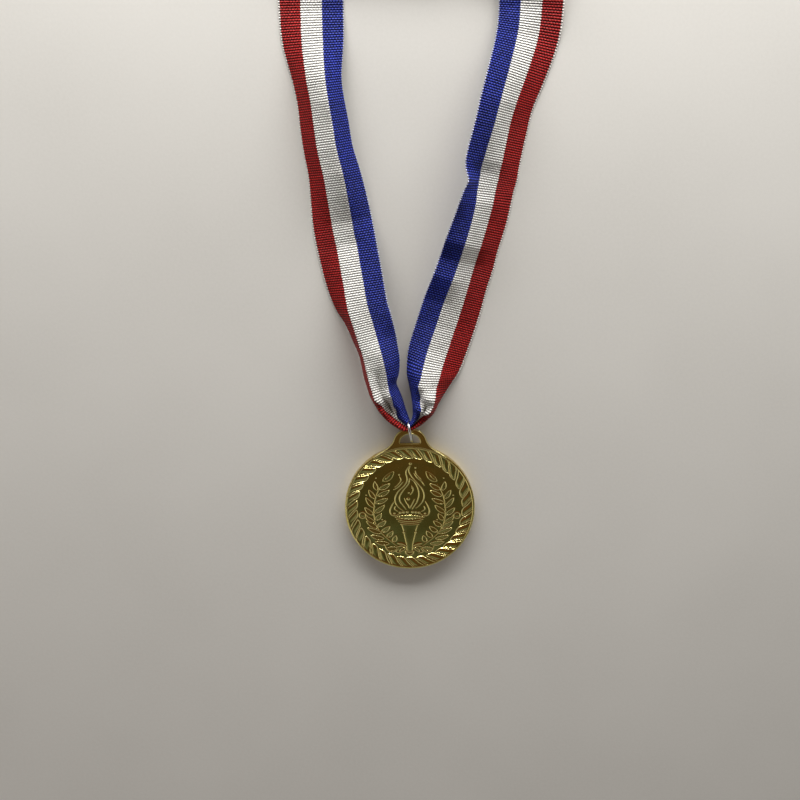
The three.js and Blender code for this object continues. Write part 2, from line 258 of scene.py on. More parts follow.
def outline_distance(x, y, outline):
    """Signed distance to a closed outline, negative inside."""
    best = np.full(x.shape, 1e9)
    inside = np.zeros(x.shape, bool)
    for (ax, ay), (bx, by) in zip(outline, np.roll(outline, -1, axis=0)):
        dx, dy = bx - ax, by - ay
        t = np.clip(((x - ax) * dx + (y - ay) * dy) / max(dx * dx + dy * dy, 1e-9), 0, 1)
        best = np.minimum(best, np.hypot(x - ax - t * dx, y - ay - t * dy))
        if ay != by:
            crossing = ((ay > y) != (by > y)) & (x < dx * (y - ay) / (by - ay) + ax)
            inside ^= crossing
    return np.where(inside, -best, best)


def plan_distance(x, y):
    """Signed distance to the medal's plan: disc and lug with a fillet between, less the hole."""
    disc = np.hypot(x, y) - DISC_R
    result = disc.copy()
    top = y > 17
    if top.any():
        lug = outline_distance(x[top], y[top], LUG_OUTLINE)
        near = np.maximum(FILLET - np.abs(disc[top] - lug), 0) / FILLET
        merged = np.minimum(disc[top], lug) - near**2 * FILLET / 4
        hole = outline_distance(x[top], y[top], HOLE_OUTLINE)
        result[top] = np.maximum(merged, -hole)
    return result


# ---- medal: relief ----


class Relief:
    """The struck face as a height in mm over each plan point."""

    def __init__(self, x, y):
        self.x, self.y = x, y
        self.height = np.zeros(x.shape)

    def near(self, points, margin):
        p = np.array(points, float)
        low, high = p.min(0) - margin, p.max(0) + margin
        in_x = (self.x > low[0]) & (self.x < high[0])
        return np.nonzero(in_x & (self.y > low[1]) & (self.y < high[1]))

    def raise_to(self, where, height):
        self.height[where] = np.maximum(self.height[where], height)

    def line(self, points, width=0.34, height=0.34, taper=0.5):
        """A rounded ridge along a smooth curve, thinner at its ends."""
        path = spline(points, 8 * len(points)) if len(points) > 2 else np.array(points, float)
        where = self.near(path, width * 2)
        x, y = self.x[where], self.y[where]
        best = np.full(x.shape, 1e9)
        along = np.zeros(x.shape)
        for i in range(len(path) - 1):
            (ax, ay), (bx, by) = path[i], path[i + 1]
            dx, dy = bx - ax, by - ay
            t = np.clip(((x - ax) * dx + (y - ay) * dy) / (dx * dx + dy * dy), 0, 1)
            d = np.hypot(x - ax - t * dx, y - ay - t * dy)
            closer = d < best
            best[closer] = d[closer]
            along[closer] = ((i + t) / (len(path) - 1))[closer]
        fade = 1 - taper * (2 * np.abs(along - 0.5)) ** 4
        self.raise_to(where, height * fade * np.exp(-((best / (width * 0.55 * fade)) ** 2)))

    def leaf(self, root, tip, width=1.75, bow=0.0, crown=0.08, edge=0.3, vein=0.12):
        """A pointed leaf: a low crowned blade inside a thin raised outline."""
        root, tip = np.array(root, float), np.array(tip, float)
        middle, span = (root + tip) / 2, (tip - root) / 2
        half = np.hypot(*span)
        span = span / half
        where = self.near([root, tip], width)
        dx, dy = self.x[where] - middle[0], self.y[where] - middle[1]
        along = (dx * span[0] + dy * span[1]) / half
        across = -dx * span[1] + dy * span[0] - bow * (1 - along**2)
        wide = width / 2 * np.clip(1 - along**2, 0, 1) ** 0.72 * (1 - 0.18 * along)
        inset = wide - np.abs(across)
        blade = (crown + 0.10 * across / width) * smooth(-0.1, 0.3, inset) * (np.abs(along) < 1.02)
        outline = edge * np.exp(-(((inset - 0.06) / 0.11) ** 2)) * smooth(1.06, 0.97, np.abs(along))
        ridge = vein * np.exp(-((across / 0.10) ** 2)) * smooth(0.8, 0.5, np.abs(along))
        self.raise_to(where, np.maximum(np.maximum(blade, outline), ridge))

    def bead(self, x, y, radius=0.4, height=0.4):
        where = self.near([(x, y)], radius * 1.6)
        d = np.hypot(self.x[where] - x, self.y[where] - y) / radius
        self.raise_to(where, height * np.sqrt(np.clip(1 - d**2, 0, 1)))

    def loop(self, x, y, radius, width=0.3, height=0.3):
        where = self.near([(x, y)], radius + 1)
        d = np.hypot(self.x[where] - x, self.y[where] - y)
        dome = 0.12 * np.clip(1 - (d / radius) ** 2, 0, 1)
        edge = height * np.exp(-(((d - radius) / (width * 0.55)) ** 2))
        self.raise_to(where, np.maximum(edge, dome))


LAUREL_STEM = [(4.9, -15.5), (8.4, -12.6), (11.2, -9.7), (12.95, -6.8), (13.7, -3)]
LAUREL_STEM += [(13.7, 0.7), (13.15, 4), (12.2, 6.9), (10.4, 9.8)]
INNER_LEAVES = [  # root and tip
    ((11.8, 7.8), (7.65, 10.0)), ((12.3, 5.1), (7.85, 7.35)),
    ((13.3, 2.2), (8.55, 4.0)), ((13.7, -1.8), (9.7, 1.3)),
    ((13.3, -4.7), (11.0, -2.2)), ((12.4, -7.2), (9.2, -5.1)),
    ((10.8, -9.5), (7.65, -7.4)), ((8.8, -11.75), (6.5, -9.3)),
    ((6.5, -13.8), (5.3, -11.1)),
]
OUTER_LEAVES = [  # root and tip
    ((12.4, 7.35), (13.5, 10.9)), ((13.15, 4.0), (15.7, 7.5)),
    ((13.5, 0.3), (16.9, 4.4)), ((13.9, -2.6), (17.3, 0.3)),
    ((13.35, -5.9), (17.1, -3.2)), ((12.2, -8.0), (16.7, -5.2)),
    ((10.8, -10.1), (16.3, -8.0)), ((10.0, -12.4), (15.1, -11.1)),
    ((8.0, -14.5), (13.35, -13.7)), ((4.9, -16.3), (9.2, -16.5)),
]


def laurel(relief, side):
    """One branch: side is -1 on the left and 1 on the right."""

    def at(point):
        return (side * point[0], point[1])

    relief.line([at(p) for p in LAUREL_STEM], 0.26, 0.2)
    for root, tip in INNER_LEAVES:
        relief.leaf(at(root), at(tip), 1.65, bow=0.22 * side)
    for root, tip in OUTER_LEAVES:
        relief.leaf(at(root), at(tip), 1.6, bow=-0.22 * side)
    relief.leaf(at((10.3, 11.0)), at((6.2, 15.0)), 2.2, bow=0.3 * side, crown=0.2)
    relief.leaf(at((9.6, 11.6)), at((7.3, 14.1)), 0.9, crown=0.34, edge=0.1)
    for x, y in ((12.95, 12.3), (16.7, 5.4), (10.6, -4.6)):
        relief.bead(side * x, y, 0.24, 0.26)
    relief.loop(side * 18.2, -2.8, 1.2)
    relief.line([at((16.0, -3.6)), at((17.1, -2.2)), at((18.2, -1.6))], 0.26, 0.28)
    relief.line([at((9.5, -15.4)), at((8.4, -17.3)), at((6.6, -17.9)), at((5.2, -16.9))], 0.3, 0.3)


FLAME_EDGES = [
    [(0, 17.6), (-0.9, 16.2), (-1.5, 14.5), (-1.0, 11.7), (-2.1, 9.4), (-4.4, 7)]
    + [(-5.6, 4.4), (-5.4, 2.1), (-4.1, 0.3), (-2.6, -0.9)],
    [(-0.1, 12.2), (-0.5, 10.1), (-2.5, 7.4), (-3.85, 4.9)]
    + [(-3.7, 2.9), (-2.45, 1.1), (-1.4, -0.4)],
    [(0.1, 17.2), (-0.4, 15.3), (0.6, 13.1), (2.8, 10.4), (4.8, 7.8), (5.5, 5.2)]
    + [(5.0, 3.1), (3.6, 1.2), (2.3, 0.1)],
    [(-0.1, 12.2), (1.7, 10.9), (3.05, 8.3), (3.5, 5.7), (2.9, 3.1), (1.9, 1.3), (0.9, -0.3)],
]
FLAME_HEART = [(-2.1, 4.2), (-1.4, 2.6), (-0.6, 1.4), (0.0, 0.2)]
FLAME_HEART += [(0.7, 1.4), (1.3, 2.6), (1.9, 3.9)]
FLAME_STROKES = [  # curve, width, height
    (FLAME_HEART, 0.26, 0.28),
    ([(0.7, 9.2), (1.3, 7.9), (0.9, 6.6), (0.2, 5.6)], 0.26, 0.26),
    ([(-3.9, 13.0), (-3.4, 11.6), (-4.1, 10.3), (-5.7, 8.6)], 0.28, 0.28),
    ([(-2.6, 10.9), (-4.3, 8.9), (-6.2, 7.6)], 0.3, 0.3),
    ([(2.1, 15.3), (2.5, 13.9), (3.9, 12.3), (4.6, 11.0)], 0.28, 0.28),
    ([(1.6, 14.2), (2.9, 12.4), (4.5, 11.0), (5.6, 9.3)], 0.3, 0.3),
]
SPARKS = [(0.2, 18.1, 0.55), (-4.1, 13.6, 0.3), (2.1, 16.4, 0.32)]  # place and radius
SPARKS += [(-0.6, 3.9, 0.62), (-0.4, 6.3, 0.3), (1.0, 8.3, 0.3)]
HANDLE_EDGE = [(3.0, -6.9), (2.45, -8.6), (2.2, -9.9), (1.75, -12), (1.2, -14.6)]
HANDLE_EDGE += [(1.05, -16.4), (1.0, -17.5)]
SIDE_STROKES = [  # curve on the right-hand side, width, height
    ([(3.9, -1.9), (5.3, -2.9), (7.0, -2.6), (7.6, -0.9), (6.9, 1.2), (6.0, 2.9)], 0.3, 0.32),
    ([(4.6, -1.2), (5.8, -0.2), (5.5, 1.0)], 0.28, 0.3),
    ([(4.6, -14.4), (2.8, -14.7), (1.1, -15.6)], 0.5, 0.42),
    ([(4.9, -15.9), (3.1, -15.4), (1.2, -16.2)], 0.3, 0.3),
    ([(4.4, -16.5), (5.2, -17.8), (3.4, -18.4)], 0.26, 0.26),
]


def torch(relief):
    for path in FLAME_EDGES:
        relief.line(path, 0.28, 0.32)
    for path, width, height in FLAME_STROKES:
        relief.line(path, width, height)
    for x, y, radius in SPARKS:
        relief.bead(x, y, radius, 0.42)

    # bowl: a row of beads between two scrolls, a lens-shaped rim, bands and a collar
    for x in (-3.7, -2.4, -0.95, 1.05, 2.4, 3.6):
        relief.bead(x, -1.5 - 0.02 * x * x, 0.5, 0.46)
    for side in (-1, 1):
        for path, width, height in SIDE_STROKES:
            relief.line([(side * x, y) for x, y in path], width, height)
        relief.bead(side * 5.9, -2.1, 0.4, 0.4)
        relief.leaf((side * 1.7, -16.3), (side * 3.9, -17.9), 1.1, bow=0.2 * side)
    relief.leaf((-5.6, -3.55), (5.6, -3.55), 1.5, crown=0.16, edge=0.32, vein=0)
    relief.line([(-5.0, -4.4), (-2.6, -5.1), (0, -5.3), (2.6, -5.1), (5.0, -4.4)], 0.3, 0.28, 0.2)
    relief.line([(-4.3, -5.4), (-2.2, -5.9), (0, -6.05), (2.2, -5.9), (4.3, -5.4)], 0.24, 0.24, 0.2)
    relief.line([(-3.4, -6.5), (0, -6.75), (3.4, -6.5)], 0.3, 0.3, 0.1)

    # handle: a slightly crowned taper with raised edges, a knop and a small cup foot
    where = relief.near([(-3.2, -17.6), (3.2, -6.6)], 0)
    x, y = relief.x[where], relief.y[where]
    half = np.interp(-y, [-p[1] for p in HANDLE_EDGE], [p[0] for p in HANDLE_EDGE])
    crown = 0.14 + 0.06 * (1 - (x / half) ** 2)
    relief.raise_to(where, crown * smooth(0, 0.3, half - np.abs(x)))
    for side in (-1, 1):
        relief.line([(side * px, py) for px, py in HANDLE_EDGE], 0.26, 0.32, 0.2)
        relief.bead(side * 2.25, -9.9, 0.42, 0.44)
        relief.line([(side * 1.55, -17.6), (side * 1.3, -18.6), (0, -19.4)], 0.34, 0.36, 0.2)
    relief.line([(-1.5, -17.7), (0, -17.95), (1.5, -17.7)], 0.36, 0.36, 0.1)


STRANDS = 34
ROPE_R = 22.4
STRAND_HALF = 3.9  # half a strand's length
STRAND_WIDE = 1.3  # half its width
STRAND_BOW = 0.42
STRAND_SLANT = math.radians(29)


def rope(relief):
    """Overlapping S-shaped strands around the border, each outlined by a thin raised edge."""
    r = np.hypot(relief.x, relief.y)
    turn = np.arctan2(relief.y, relief.x)
    border = np.nonzero((r > 19.6) & (r < 24.9))
    radial, angle = r[border] - ROPE_R, turn[border]
    best = np.zeros(radial.shape)
    for k in range(STRANDS):
        lean = rng.uniform(-0.012, 0.012)
        swell = rng.uniform(0.94, 1.06)
        t = (angle - math.tau * k / STRANDS - lean + math.pi) % (math.tau) - math.pi
        t = t * ROPE_R
        along = (t * math.cos(STRAND_SLANT) + radial * math.sin(STRAND_SLANT)) / STRAND_HALF
        across = -t * math.sin(STRAND_SLANT) + radial * math.cos(STRAND_SLANT)
        across = across - STRAND_BOW * np.sin(math.pi * along)
        wide = STRAND_WIDE * swell * np.clip(1 - along**2, 0, 1) ** 0.8
        inset = wide - np.abs(across)
        dome = np.clip(1 - (across / np.maximum(wide, 0.05)) ** 2, 0, 1)
        body = (0.15 * dome + 0.05 * across) * np.clip(1 - along**2, 0, 1) ** 0.35
        edge = 0.24 * np.exp(-(((inset - 0.05) / 0.12) ** 2)) * smooth(1.04, 0.94, np.abs(along))
        best = np.maximum(best, np.maximum(body, edge))
    fade = smooth(-2.6, -2.2, radial) * smooth(2.15, 1.75, radial)
    relief.height[border] = np.maximum(relief.height[border], 0) + best * fade


def face_height(x, y, edge):
    """Height of the struck face; edge is the signed plan distance."""
    r = np.hypot(x, y)
    relief = Relief(x, y)
    torch(relief)
    laurel(relief, -1)
    laurel(relief, 1)
    relief.height *= RELIEF_SCALE
    rope(relief)
    lip = LIP * smooth(24.05, 24.45, r) * (r < DISC_R + 0.4)
    disc = FIELD_Z + relief.height + lip
    ripple = 0.006 * np.sin(0.55 * x + 0.3 * y + 1) + 0.005 * np.sin(0.35 * x - 0.6 * y)
    disc = disc + ripple * smooth(20, 18, r)
    plate = LUG_HIGH_Z * smooth(24.3, 24.7, r) * (y > 10)
    on_plate = (y > 17) & (r > 24.2)
    lug = np.full(x.shape, 9.0)
    lug[on_plate] = outline_distance(x[on_plate], y[on_plate], LUG_OUTLINE)
    height = np.where(lug < 0.6, np.maximum(disc * (r < 25.2), plate), disc)
    drop = np.clip(edge + ROUND, 0, ROUND)
    return height - (ROUND - np.sqrt(np.maximum(ROUND**2 - drop**2, 0)))


def slide_to_outline(px, py, rim):
    """Moves the rim's vertices onto the plan outline, along the distance's slope."""
    step = 1e-3
    for _ in range(6):
        rx, ry = px[rim], py[rim]
        here = plan_distance(rx, ry)
        gx = (plan_distance(rx + step, ry) - plan_distance(rx - step, ry)) / (2 * step)
        gy = (plan_distance(rx, ry + step) - plan_distance(rx, ry - step)) / (2 * step)
        size = np.maximum(gx**2 + gy**2, 0.25)
        px[rim] = rx - here * gx / size
        py[rim] = ry - here * gy / size


def boundary_loops(edge_sides):
    """The border's directed sides as closed loops of vertices, the shortest first."""
    follow = {int(side[0]): int(side[1]) for side in edge_sides}
    loops = []
    while follow:
        start, vertex = follow.popitem()
        loop = [start]
        while vertex != start:
            loop.append(vertex)
            vertex = follow.pop(vertex)
        loops.append(loop)
    return sorted(loops, key=len)


def depth_below_surroundings(shape, used, heights):
    """How far each face vertex lies below the mean of those around it, in mm."""
    filled = np.full(shape[0] * shape[1], FIELD_Z)
    filled[used] = heights
    filled = filled.reshape(shape)
    around = filled
    for axis in (0, 1):
        around = np.mean([np.roll(around, k, axis) for k in range(-4, 5)], 0)
    return (around - filled).ravel()[used]


class Shell:
    """Vertices and faces gathered ring by ring."""

    def __init__(self, points, faces):
        self.points = [points]
        self.faces = faces
        self.count = len(points)

    def ring(self, points):
        self.points.append(points)
        start = self.count
        self.count += len(points)
        return list(range(start, self.count))

    def circle(self, radius, turns, z):
        flat = [radius * np.cos(turns), radius * np.sin(turns)]
        return self.ring(np.column_stack([*flat, np.full(len(turns), z)]))

    def wall(self, upper, lower):
        for i in range(len(upper)):
            j = (i + 1) % len(upper)
            self.faces.append([upper[i], lower[i], lower[j], upper[j]])

    def all_points(self):
        return np.vstack(self.points)


def face_grid():
    """The struck face as a grid of quads cut to the plan outline."""
    xs = np.arange(-DISC_R - GRID, DISC_R + 2 * GRID, GRID)
    ys = np.arange(-DISC_R - GRID, LUG_TOP + 2 * GRID, GRID)
    x, y = np.meshgrid(xs, ys, indexing="ij")
    ok = (plan_distance(x.ravel(), y.ravel()) < 0.45 * GRID).reshape(x.shape)
    cell = ok[:-1, :-1] & ok[1:, :-1] & ok[:-1, 1:] & ok[1:, 1:]
    ids = np.arange(x.size).reshape(x.shape)
    corners = (ids[:-1, :-1], ids[1:, :-1], ids[1:, 1:], ids[:-1, 1:])
    quads = np.stack([corner[cell] for corner in corners], 1)
    used, inverse = np.unique(quads, return_inverse=True)
    return x.ravel()[used], y.ravel()[used], inverse.reshape(quads.shape), x.shape, used


BACK_PROFILE = [  # radius and height, from the disc's wall to the middle of its back
    (DISC_R, 1.2),
    (DISC_R, 0.35),
    (DISC_R - 0.1, 0.1),
    (DISC_R - 0.35, 0.0),
    (DISC_R - 1.5, 0.0),
    (DISC_R - 1.7, BACK_Z),
    (DISC_R - 5, BACK_Z),
    (DISC_R - 11, BACK_Z),
    (DISC_R - 18, BACK_Z),
    (DISC_R - 23.5, BACK_Z),
]
WALL_PAINTED_SHADE = 0.06  # the walls and the back take this much of the painted shade that darkens the hollows


def build_medal():
    px, py, quads, shape, used = face_grid()
    sides = np.vstack([quads[:, [i, (i + 1) % 4]] for i in range(4)])
    _, first, counts = np.unique(np.sort(sides, 1), axis=0, return_index=True, return_counts=True)
    edge_sides = sides[first[counts == 1]]
    rim = np.unique(edge_sides)
    slide_to_outline(px, py, rim)
    edge = plan_distance(px, py)
    edge[rim] = 0
    pz = face_height(px, py, edge)
    shell = Shell(np.stack([px, py, pz], 1), quads.tolist())
    hole, outer = boundary_loops(edge_sides)[-2:]

    def lowered(loop, z, inward=0.0):
        flat = np.stack([px[loop], py[loop]], 1)
        if inward:
            ahead = np.roll(flat, -1, 0) - np.roll(flat, 1, 0)
            normal = np.stack([-ahead[:, 1], ahead[:, 0]], 1)
            normal /= np.maximum(np.hypot(*normal.T)[:, None], 1e-9)
            flat = flat + normal * inward
        return np.column_stack([flat, np.full(len(flat), z)])

    # start the outer loop at the lug's right-hand end, so the lug comes first
    flat = np.stack([px[outer], py[outer]], 1)
    beyond = (np.hypot(*flat.T) > DISC_R + 0.03) & (flat[:, 1] > 15)
    start = next(i for i in range(len(outer)) if beyond[i] and not beyond[i - 1])
    outer = outer[start:] + outer[:start]
    on_lug = int(np.roll(beyond, -start).sum())

    # walls of the disc, the lug and the hole, down to the lug's chamfered underside
    low_rings = []
    for loop in (outer, hole):
        middle = shell.ring(lowered(loop, LUG_LOW_Z + 0.15))
        shell.wall(loop, middle)
        low = shell.ring(lowered(loop, LUG_LOW_Z, 0.12))
        shell.wall(middle, low)
        low_rings.append(low)
    ring_low, hole_low = low_rings

    # under the lug the disc's own wall carries on down along an arc
    points = shell.all_points()
    first_point, last_point = points[ring_low[0]], points[ring_low[on_lug - 1]]
    first_turn = math.atan2(first_point[1], first_point[0])
    last_turn = math.atan2(last_point[1], last_point[0])
    arc = shell.circle(DISC_R, np.linspace(first_turn, last_turn, 120)[1:-1], LUG_LOW_Z)
    border = ring_low[:on_lug] + arc[::-1]
    points = shell.all_points()
    shapes = [[Vector(points[i]) for i in loop] for loop in (border, hole_low)]
    lookup = border + hole_low
    for tri in tessellate_polygon(shapes):
        shell.faces.append([lookup[i] for i in tri])

    previous = [ring_low[0]] + arc + [ring_low[on_lug - 1]] + ring_low[on_lug:]
    turn = np.arctan2(points[previous][:, 1], points[previous][:, 0])
    for radius, z in BACK_PROFILE:
        ring = shell.circle(radius, turn, z)
        shell.wall(previous, ring)
        previous = ring
    centre = shell.ring(np.array([[0, 0, BACK_Z]]))[0]
    for i in range(len(previous)):
        shell.faces.append([previous[i], centre, previous[(i + 1) % len(previous)]])

    # the walls and the back get the hollows' painted shade
    hollow = np.full(shell.count, WALL_PAINTED_SHADE)
    hollow[: len(px)] = depth_below_surroundings(shape, used, pz)
    return make_mesh("medal_body", shell.all_points(), shell.faces, {"hollow": hollow}, 55)


def gold_material():
    n = Nodes("gold_plate")
    hollow = n.attribute("hollow")
    blotch = n.noise(260, 4, 0.55)
    fine = n.noise(2600, 2, 0.5)
    tone = n.mix(n.span(blotch, 0.35, 0.7, 0, 1), (0.88, 0.77, 0.29), (0.82, 0.69, 0.23))
    # painted shade: the hollows, the walls and the back are darkened toward brown by their depth
    tone = n.mix(n.span(hollow, 0.0, 0.09, 0.0, 0.85), tone, (0.52, 0.33, 0.07))
    # painted highlight: the raised ridges and outlines are lightened toward pale gold
    tone = n.mix(n.span(hollow, -0.16, -0.04, 0.7, 0.0), tone, (0.96, 0.89, 0.46))
    streaks = {"Vector": n.place(), "Scale": (1400, 90, 500), "Rotation": (0, 0, 0.5)}
    scratches = n.noise(1.0, 2, 0.6, n.add("ShaderNodeMapping", streaks).outputs[0])
    ridges = n.span(hollow, -0.09, -0.02, 0.2, 0.0)
    rough = n.plus(n.span(blotch, 0.3, 0.75, 0.07, 0.12), ridges)
    rough = n.plus(rough, n.span(scratches, 0.62, 0.8, 0.0, 0.10))
    n.set(Metallic=1.0, Base_Color=tone, Roughness=rough)
    bumped = n.bump(scratches, 4e-6, 0.5)
    grain = n.plus(fine, n.times(blotch, 2.0))
    n.set(Normal=n.bump(grain, 1e-5, 0.35, bumped))
    return n.material


medal = build_medal()
place(medal, gold_material(), "medal", "gold", "medal")

# ---- jump ring ----

RING_CENTRE = (RING_LOW + RING_HIGH) / 2
RING_YAW = math.radians(11)
WIRE_R = 0.45
RING_R = (RING_HIGH[2] - RING_LOW[2]) / 2 - WIRE_R
SLIT = math.radians(4)
SLIT_STEP = 0.05  # the wire's ends pass each other by this much


def build_ring():
    around, length = 24, 220  # vertices round the wire, and along it
    worn = 0.93  # the cut ends' share of the wire's radius
    verts = []
    for i in range(length):
        turn = SLIT / 2 + (math.tau - SLIT) * i / (length - 1)
        wire = WIRE_R * (worn if i in (0, length - 1) else 1)
        for k in range(around):
            a = math.tau * k / around
            r = RING_R + wire * math.cos(a)
            x = wire * math.sin(a) + SLIT_STEP * (turn / math.pi - 1)
            y, z = r * math.cos(turn), r * math.sin(turn)
            turned_x = x * math.cos(RING_YAW) - y * math.sin(RING_YAW)
            turned_y = x * math.sin(RING_YAW) + y * math.cos(RING_YAW)
            verts.append(RING_CENTRE + (turned_x, turned_y, z))
    return make_mesh("jump_ring_wire", verts, swept_faces(length, around), sharp_degrees=50)


def steel_material():
    n = Nodes("nickel_wire")
    drawn = n.add("ShaderNodeMapping", {"Vector": n.place(), "Scale": (3000, 500, 500)})
    lines = n.noise(1.0, 3, 0.6, drawn.outputs[0])
    blotch = n.noise(900, 3, 0.5)
    spots = n.span(blotch, 0.35, 0.7, 0, 1)
    rough = n.plus(n.span(blotch, 0.3, 0.7, 0.10, 0.22), n.span(lines, 0.55, 0.75, 0, 0.08))
    n.set(
        Metallic=1.0,
        Base_Color=n.mix(spots, (0.80, 0.80, 0.80), (0.60, 0.59, 0.57)),
        Roughness=rough,
        Normal=n.bump(lines, 6e-6, 0.5),
    )
    return n.material


ring = build_ring()
place(ring, steel_material(), "jump_ring", "steel", "jump_ring")

# ---- ribbon ----

RIBBON_W = 22.2
RIBBON_L = 813.0
RIBBON_T = 0.4
RIB = 0.86  # pitch of the woven cross ribs
RIB_HEIGHT = 0.07
WARP = 1.06  # two warp threads, the one over and the other under
RED_LOOP = (0.30, 0.24)  # the looped edges stand out by this much, plus or minus
BLUE_LOOP = (0.14, 0.09)
STRIPE = RIBBON_W / 6  # the white stripe's edges lie this far from the middle
COLUMNS = 49
LAYER = 0.45
FOLD_Y = HANK_LOW[1]
LEFT_END_X = -34.6
RIGHT_END_X = 41.6
HANK_LEFT = HANK_LOW[0] + 0.9
RUN_BASE_Z = HANK_LOW[2] + 0.2
RIGHT_RUN_Z = RUN_BASE_Z + 6 * LAYER  # the right end lies on top of the hank
OVERLAP = (20.0, 32.0)  # the two sewn ends lie over each other between these places along X
CURVE_SAMPLES = 4000
TUCKED = 0.06  # share of its plan width that the white stripe shows inside the ring
TUCK = (4.5, 9.5)  # it comes out from under its neighbours between these distances
FOLD_STAGGER = 0.25  # each fold of the hank lies this much inside the one below

across = np.linspace(-RIBBON_W / 2, RIBBON_W / 2, COLUMNS)

# A leg's stations, from the gather in the ring to the fold at its far end. Each one is the red edge
# and the blue edge in plan (outward, up the table), the ribbon's lift above the table, and the
# lean of equal strips across the width from the red edge to the blue one, in degrees; positive
# rises towards the blue edge. The strips share the plan width between the two edges.
GATHER = (89, 66, -76, -89, 89, -89, 89, -89, 89, 76, -62, -89)
OPENING = (89, 50, -55, -89, 89, -89, 89, -89, 89, 66, -45, -80)
LEFT_LEG = [
    (0.0, 31.8, 0.0, 34.5, 3.4, GATHER),
    (3.2, 31.8, 0.4, 36.2, 3.2, OPENING),
    (7.6, 34.8, 1.6, 39.3, 2, (89, 60, -40, -89, 89, -89, 86, -86, 60, 5, -40, -70)),
    (11.3, 38.4, 3.1, 43.9, 1, (86, 78, 60, -75, -20, -70, 75, 60, -10, -50, -60, -75)),
    (14.6, 43.2, 4.6, 47.5, 0.5, (77, 77, 76, 75, -25, -40, 40, 15, -50, -62, -65, -75)),
    (16.0, 47.3, 5.3, 49.7, 0.3, (75, 75, 74, 72, -18, -30, 25, 15, -62, -66, -66, -66)),
    (17.2, 51.3, 4.3, 53.4, 0.25, (75, 75, 75, 74, -10, -20, 20, 15, -15, -40, -66, -72)),
    (18.1, 55.7, 4.0, 59.5, 0.25, (76, 76, 76, 75, 0, 5, 10, 10, -15, -30, -40, -48)),
    (19.1, 60.3, 4.6, 64.5, 0.25, (76, 6, -24)),
    (21.0, 64.8, 5.3, 69.1, 0.25, (73, -4, -8)),
    (22.7, 69.0, 6.2, 73.1, 0.25, (70, -4, 0)),
    (24.8, 73.2, 7.3, 77.6, 0.25, (64, -2, 4)),
    (27.6, 77.6, 8.5, 81.7, 0.25, (50, 4, 4)),
    (30.9, 86.5, 10.0, 90.2, 0.25, (28, 8, 6)),
    (34.0, 99.6, 12.4, 103.4, 0.25, (12, 4, 12)),
    (35.4, 108.2, 14.2, 111.9, 0.25, (16, 6, -16)),
    (36.0, 117.0, 16.1, 120.5, 0.25, (30, 12, -28)),
    (36.6, 125.8, 18.2, 128.7, 0.25, (40, 18, -36)),
    (38.1, 134.3, 20.7, 137.0, 0.25, (44, 22, -42)),
    (39.2, 142.6, 22.0, 145.3, 0.25, (44, 26, -44)),
    (40.0, 150.9, 23.5, 153.5, 0.25, (46, 32, -46)),
    (41.6, 158.9, 24.3, 161.0, 0.25, (44, 24, -42)),
    (44.8, 171.3, 23.5, 172.7, 0.25, (20, 6, -16)),
    (45.7, 182.8, 23.5, 183.2, 0.25, (0, 0, 0)),
    (45.7, FOLD_Y, 23.5, FOLD_Y, RUN_BASE_Z, (0, 0, 0)),
]
RIGHT_LEG = [
    (0.0, 31.8, 0.0, 34.5, 3.4, GATHER),
    (4.5, 34.2, 1.1, 37.4, 3, OPENING),
    (7.1, 36.6, 1.0, 39.9, 2.2, (88, 60, 10, -60, 87, -87, 87, -87, 60, -10, -50, -70)),
    (8.9, 38.2, 1.0, 41.6, 1.8, (84, 70, 60, 55, -50, -75, 70, 60, -10, -50, -60, -70)),
    (11.8, 43.7, 0.3, 45.7, 1, (62, 62, 62, 62, 20, -10, -35, -60, 5, -55, -60, -70)),
    (14.7, 48.2, -0.5, 49.6, 0.8, (42, 42, 42, 42, 28, 28, 10, -5, -50, -62, -66, -68)),
    (16.8, 51.5, -1.2, 53.6, 0.8, (34, 34, 34, 34, 25, 25, 20, 10, -25, -40, -50, -60)),
    (18.4, 54.0, -1.0, 59.9, 0.5, (22, 18, -30)),
    (20.1, 58.3, -0.2, 64.9, 0.3, (16, 14, -18)),
    (23.1, 67.0, 2.4, 73.8, 0.25, (10, 16, -6)),
    (25.9, 76.3, 5.1, 82.6, 0.25, (14, 16, 0)),
    (28.2, 85.3, 8.3, 91.4, 0.25, (16, 31, 4)),
    (30.3, 92.0, 10.6, 98.0, 0.25, (10, 36, 6)),
    (31.8, 98.8, 12.5, 104.3, 0.25, (24, 36, 10)),
    (34.5, 107.7, 15.4, 112.5, 0.25, (20, 35, 25)),
    (36.1, 115.1, 17.5, 118.7, 0.25, (25, 30, 38)),
    (37.1, 120.1, 18.9, 122.6, 0.25, (22, 24, 50)),
    (37.6, 121.8, 20.4, 125.2, 0.25, (20, 22, 60)),
    (38.4, 125.0, 19.3, 129.1, 0.25, (19, 18, 42)),
    (39.0, 129.7, 19.5, 134.2, 0.25, (26, 22, 28)),
    (41.4, 141.7, 22.5, 146.4, 0.25, (22, 40, 20)),
    (43.2, 149.6, 24.4, 155.0, 0.25, (28, 38, 14)),
    (47.0, 159.0, 27.1, 165.1, 0.25, (20, 26, 12)),
    (51.4, 171.9, 29.8, 176.1, 0.25, (6, 8, 4)),
    (52.7, 183.4, 30.5, 184.6, 1.4, (0, 0, 0)),
    (52.7, FOLD_Y, 30.5, FOLD_Y, RIGHT_RUN_Z, (0, 0, 0)),
]


def soften(values, steps):
    """A running mean along the first axis, with the ends kept."""
    kernel = np.hanning(2 * steps + 3)[1:-1]
    kernel /= kernel.sum()
    pad = [(steps, steps)] + [(0, 0)] * (values.ndim - 1)
    padded = np.pad(values, pad, mode="edge")
    return sum(k * padded[i : i + len(values)] for i, k in enumerate(kernel))


